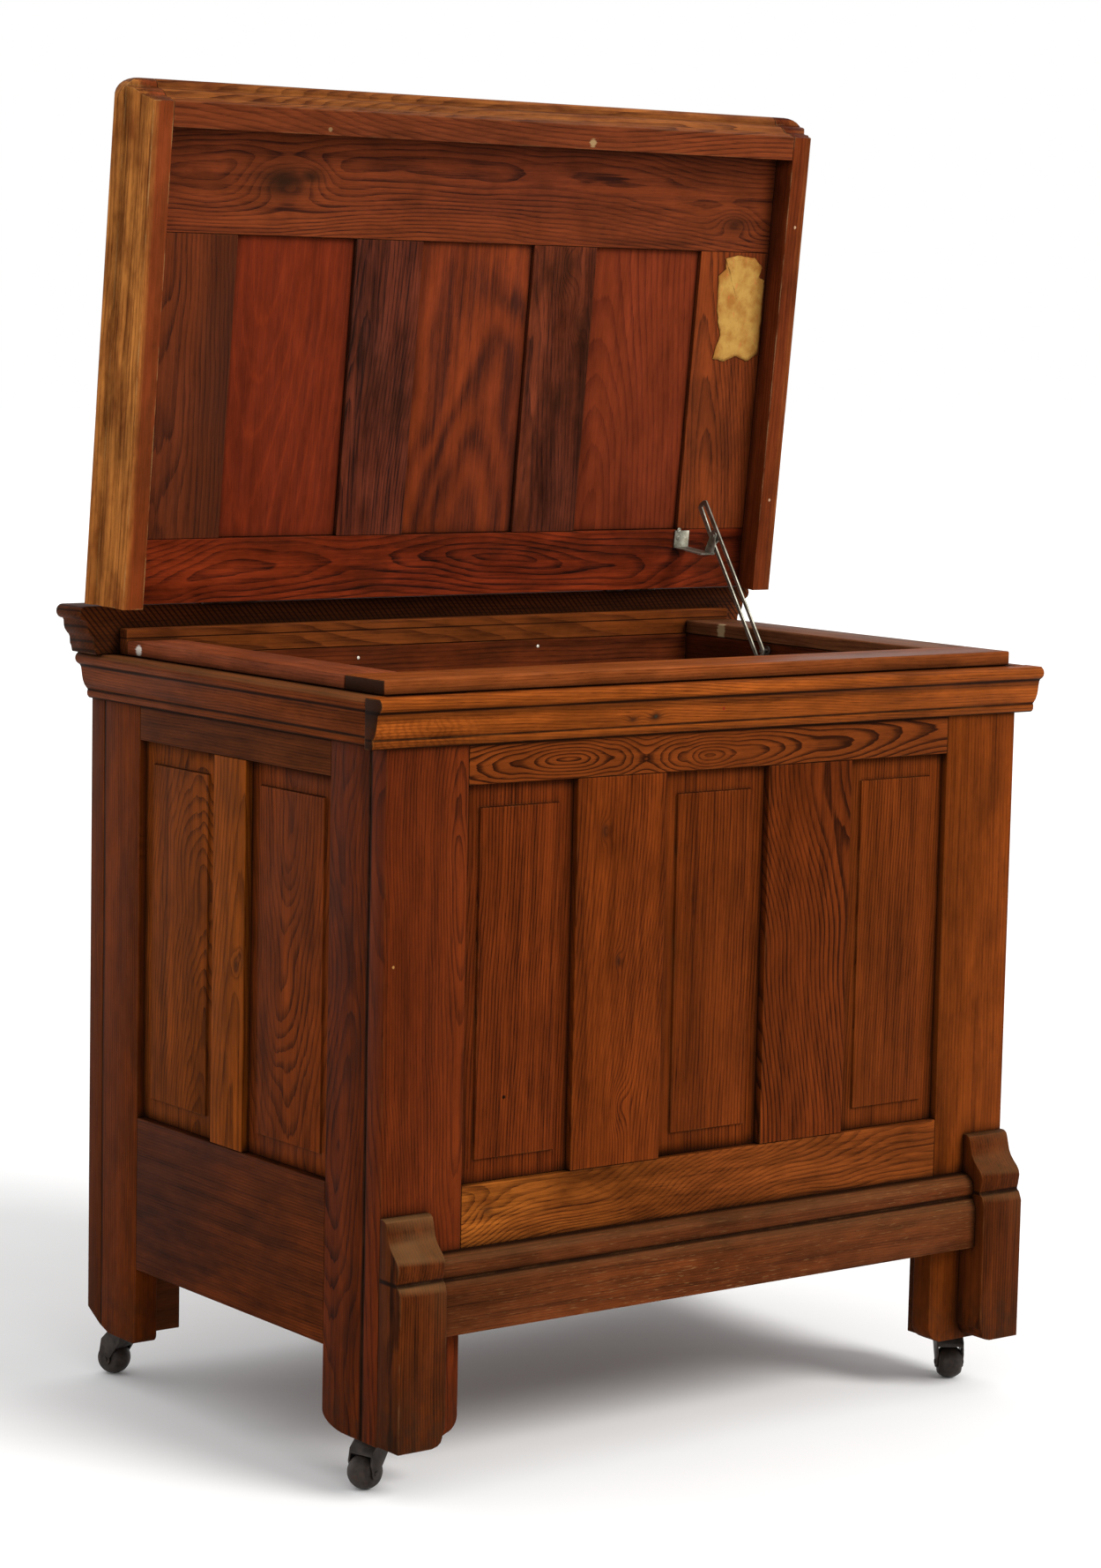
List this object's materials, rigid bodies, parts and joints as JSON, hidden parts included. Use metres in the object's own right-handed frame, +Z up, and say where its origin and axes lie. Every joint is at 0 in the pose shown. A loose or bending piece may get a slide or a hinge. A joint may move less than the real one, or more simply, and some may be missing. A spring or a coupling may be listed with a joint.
{
  "type": "chest icebox",
  "caption": "Framed and panelled wooden chest icebox with a zinc-lined cold chamber, a hinged moulded lid held by a slotted stay, and swivelling casters",
  "frame": {"origin": "centre of the overall footprint, on the floor under the casters", "axes": "+X to the right of a person facing the front, +Y from the front to the back, +Z up"},
  "size_m": [1.001, 0.6507, 1.5172],
  "materials": {
    "case_wood": "aged stained oak, worn varnish",
    "panel_wood": "aged stained oak panels",
    "dark_wood": "dark stained oak",
    "gold_wood": "golden brown oak",
    "red_wood": "red-brown stained inside wood",
    "zinc": "dull zinc sheet",
    "hinge_steel": "aged steel",
    "nickel": "dull nickelled steel",
    "dark_iron": "dark cast iron",
    "paper_label": "aged blank paper"
  },
  "bodies": {
    "case": {"stile_front_left": "case_wood", "stile_front_right": "case_wood", "rail_front_top": "case_wood", "rail_front_bottom": "case_wood", "muntin_front_1": "case_wood", "muntin_front_2": "case_wood", "stile_left_rear": "case_wood", "muntin_left": "case_wood", "frame_right": "case_wood", "base_board": "case_wood", "plinth_block_left": "case_wood", "plinth_block_right": "case_wood", "cornice_left": "case_wood", "cornice_right": "case_wood", "coaming_front": "case_wood", "coaming_left": "case_wood", "coaming_right": "case_wood", "rear_strip": "case_wood", "panel_front_1": "panel_wood", "panel_front_2": "panel_wood", "panel_front_3": "panel_wood", "panel_left_front": "panel_wood", "panel_left_rear": "panel_wood", "panel_right_front": "panel_wood", "panel_right_rear": "panel_wood", "stile_left_front": "dark_wood", "rail_left_top": "dark_wood", "rail_left_bottom": "dark_wood", "stile_back_left": "dark_wood", "stile_back_right": "dark_wood", "back_board": "dark_wood", "bottom_board": "dark_wood", "cornice_front": "gold_wood", "stop_board_rear": "gold_wood", "throat_band": "red_wood", "liner_tub": "zinc", "drain_tube": "zinc", "hinge_1_fixed_leaf": "hinge_steel", "hinge_2_fixed_leaf": "hinge_steel", "stay_wall_pin": "hinge_steel"},
    "lid": {"lid_rim_left": "case_wood", "lid_rim_right": "case_wood", "lid_rim_front": "case_wood", "lid_frame": "red_wood", "lid_panel_1": "red_wood", "lid_panel_2": "red_wood", "lid_panel_3": "red_wood", "lid_label": "paper_label", "hinge_1_lid_leaf": "hinge_steel", "hinge_2_lid_leaf": "hinge_steel", "stay_bracket": "nickel"},
    "stay": {"stay_arm": "nickel"},
    "fork_front_left": {"caster_fork_front_left": "dark_iron"},
    "wheel_front_left": {"caster_wheel_front_left": "dark_iron"},
    "fork_front_right": {"caster_fork_front_right": "dark_iron"},
    "wheel_front_right": {"caster_wheel_front_right": "dark_iron"},
    "fork_rear_left": {"caster_fork_rear_left": "dark_iron"},
    "wheel_rear_left": {"caster_wheel_rear_left": "dark_iron"},
    "fork_rear_right": {"caster_fork_rear_right": "dark_iron"},
    "wheel_rear_right": {"caster_wheel_rear_right": "dark_iron"}
  },
  "joints": [
    {"name": "lid_hinge", "type": "hinge", "parent": "case", "child": "lid", "pos_m": [0, 0.26525, 0.9225], "axis": [1, 0, 0], "range_deg": [0, 84.1]},
    {"name": "stay_pivot", "type": "hinge", "parent": "lid", "child": "stay", "pos_m": [0.364, 0.17825, 0.9922], "axis": [1, 0, 0], "range_deg": [-146.9, 0]},
    {"name": "swivel_front_left", "type": "hinge", "parent": "case", "child": "fork_front_left", "pos_m": [-0.4195, -0.23675, 0.058], "axis": [0, 0, 1], "continuous": true},
    {"name": "roll_front_left", "type": "hinge", "parent": "fork_front_left", "child": "wheel_front_left", "pos_m": [-0.43435, -0.24118, 0.0195], "axis": [0.2857, -0.9583, 0], "continuous": true},
    {"name": "swivel_front_right", "type": "hinge", "parent": "case", "child": "fork_front_right", "pos_m": [0.4195, -0.23675, 0.058], "axis": [0, 0, 1], "continuous": true},
    {"name": "roll_front_right", "type": "hinge", "parent": "fork_front_right", "child": "wheel_front_right", "pos_m": [0.41129, -0.24989, 0.0195], "axis": [0.848, -0.5299, 0], "continuous": true},
    {"name": "swivel_rear_left", "type": "hinge", "parent": "case", "child": "fork_rear_left", "pos_m": [-0.4195, 0.29125, 0.058], "axis": [0, 0, 1], "continuous": true},
    {"name": "roll_rear_left", "type": "hinge", "parent": "fork_rear_left", "child": "wheel_rear_left", "pos_m": [-0.42416, 0.30603, 0.0195], "axis": [-0.9537, -0.3007, 0], "continuous": true},
    {"name": "swivel_rear_right", "type": "hinge", "parent": "case", "child": "fork_rear_right", "pos_m": [0.4195, 0.29125, 0.058], "axis": [0, 0, 1], "continuous": true},
    {"name": "roll_rear_right", "type": "hinge", "parent": "fork_rear_right", "child": "wheel_rear_right", "pos_m": [0.40996, 0.30346, 0.0195], "axis": [-0.788, -0.6157, 0], "continuous": true}
  ],
  "couplings": [
    {"joint": "stay_pivot", "follows": "lid_hinge", "ratio": -1.7466}
  ]
}
